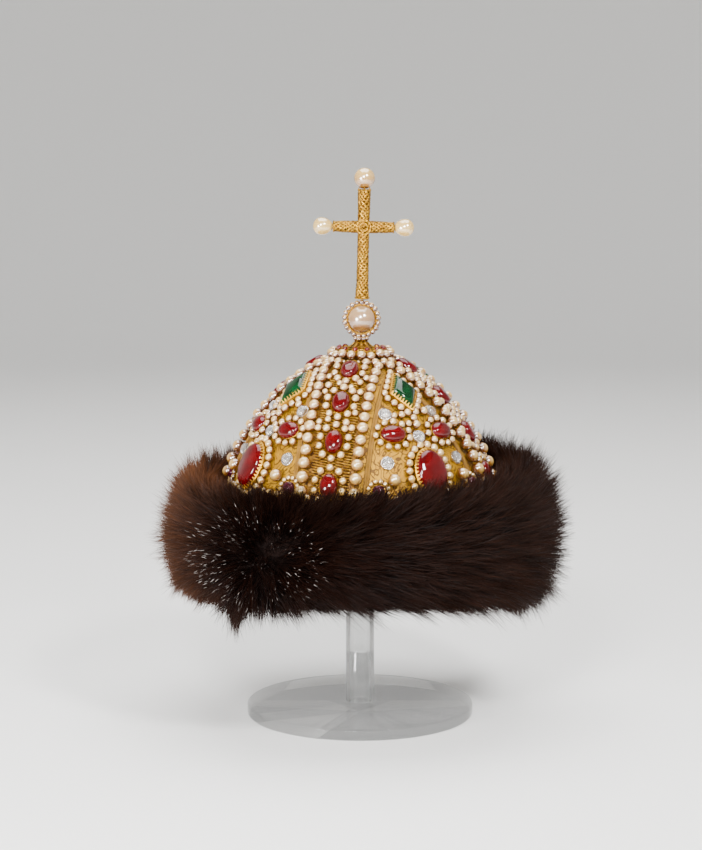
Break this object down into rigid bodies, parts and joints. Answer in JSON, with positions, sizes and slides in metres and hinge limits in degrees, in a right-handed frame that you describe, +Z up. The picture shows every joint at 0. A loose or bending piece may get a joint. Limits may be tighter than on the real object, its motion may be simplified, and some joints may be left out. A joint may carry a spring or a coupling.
{
  "type": "costume crown on display stand",
  "caption": "Domed costume crown in gold brocade set with pearls and coloured stones, with a deep fur band and a cross finial, held up on a clear display stand.",
  "frame": {"origin": "centre of the underside of the stand's foot, where it rests on a table", "axes": "+Z up along the stand's post, -Y towards the front of the crown, +X to the right as seen from the front"},
  "size_m": [0.2717, 0.2805, 0.3847],
  "materials": {
    "gold_brocade": "woven gold brocade with a sheen",
    "fur": "deep dark brown fur",
    "gold_metal": "gilt, worked",
    "pearl": "pearl lustre",
    "red_stone": "polished, cut",
    "green_stone": "polished, step cut",
    "gold_braid": "twisted metal thread",
    "clear_acrylic": "clear, polished"
  },
  "bodies": {
    "root": {"stand_foot": "clear_acrylic", "stand_post": "clear_acrylic", "stand_head": "clear_acrylic", "cap_shell": "gold_brocade", "fur_band": "fur", "oval_front_1": "red_stone", "oval_front_2": "red_stone", "oval_front_3": "red_stone", "oval_front_4": "red_stone", "oval_right_1": "red_stone", "oval_right_2": "red_stone", "oval_right_3": "red_stone", "oval_right_4": "red_stone", "oval_back_1": "red_stone", "oval_back_2": "red_stone", "oval_back_3": "red_stone", "oval_back_4": "red_stone", "oval_left_1": "red_stone", "oval_left_2": "red_stone", "oval_left_3": "red_stone", "oval_left_4": "red_stone", "lozenge_front_right": "green_stone", "lozenge_back_right": "green_stone", "lozenge_back_left": "green_stone", "lozenge_front_left": "green_stone", "great_oval_front_right": "red_stone", "great_oval_back_right": "red_stone", "great_oval_back_left": "red_stone", "great_oval_front_left": "red_stone", "cabochon_front_right_l": "red_stone", "cabochon_front_right_r": "red_stone", "cabochon_back_right_l": "red_stone", "cabochon_back_right_r": "red_stone", "cabochon_back_left_l": "red_stone", "cabochon_back_left_r": "red_stone", "cabochon_front_left_l": "red_stone", "cabochon_front_left_r": "red_stone", "pearl_string_front_l": "pearl", "pearl_string_front_r": "pearl", "pearl_string_right_l": "pearl", "pearl_string_right_r": "pearl", "pearl_string_back_l": "pearl", "pearl_string_back_r": "pearl", "pearl_string_left_l": "pearl", "pearl_string_left_r": "pearl", "braid_front_l": "gold_braid", "braid_front_r": "gold_braid", "braid_right_l": "gold_braid", "braid_right_r": "gold_braid", "braid_back_l": "gold_braid", "braid_back_r": "gold_braid", "braid_left_l": "gold_braid", "braid_left_r": "gold_braid", "finial_plate": "gold_metal", "ball_pearl": "pearl", "pearl_halo": "pearl", "cross": "gold_metal", "cross_pearl_top": "pearl", "cross_pearl_left": "pearl", "cross_pearl_right": "pearl"}
  },
  "joints": []
}
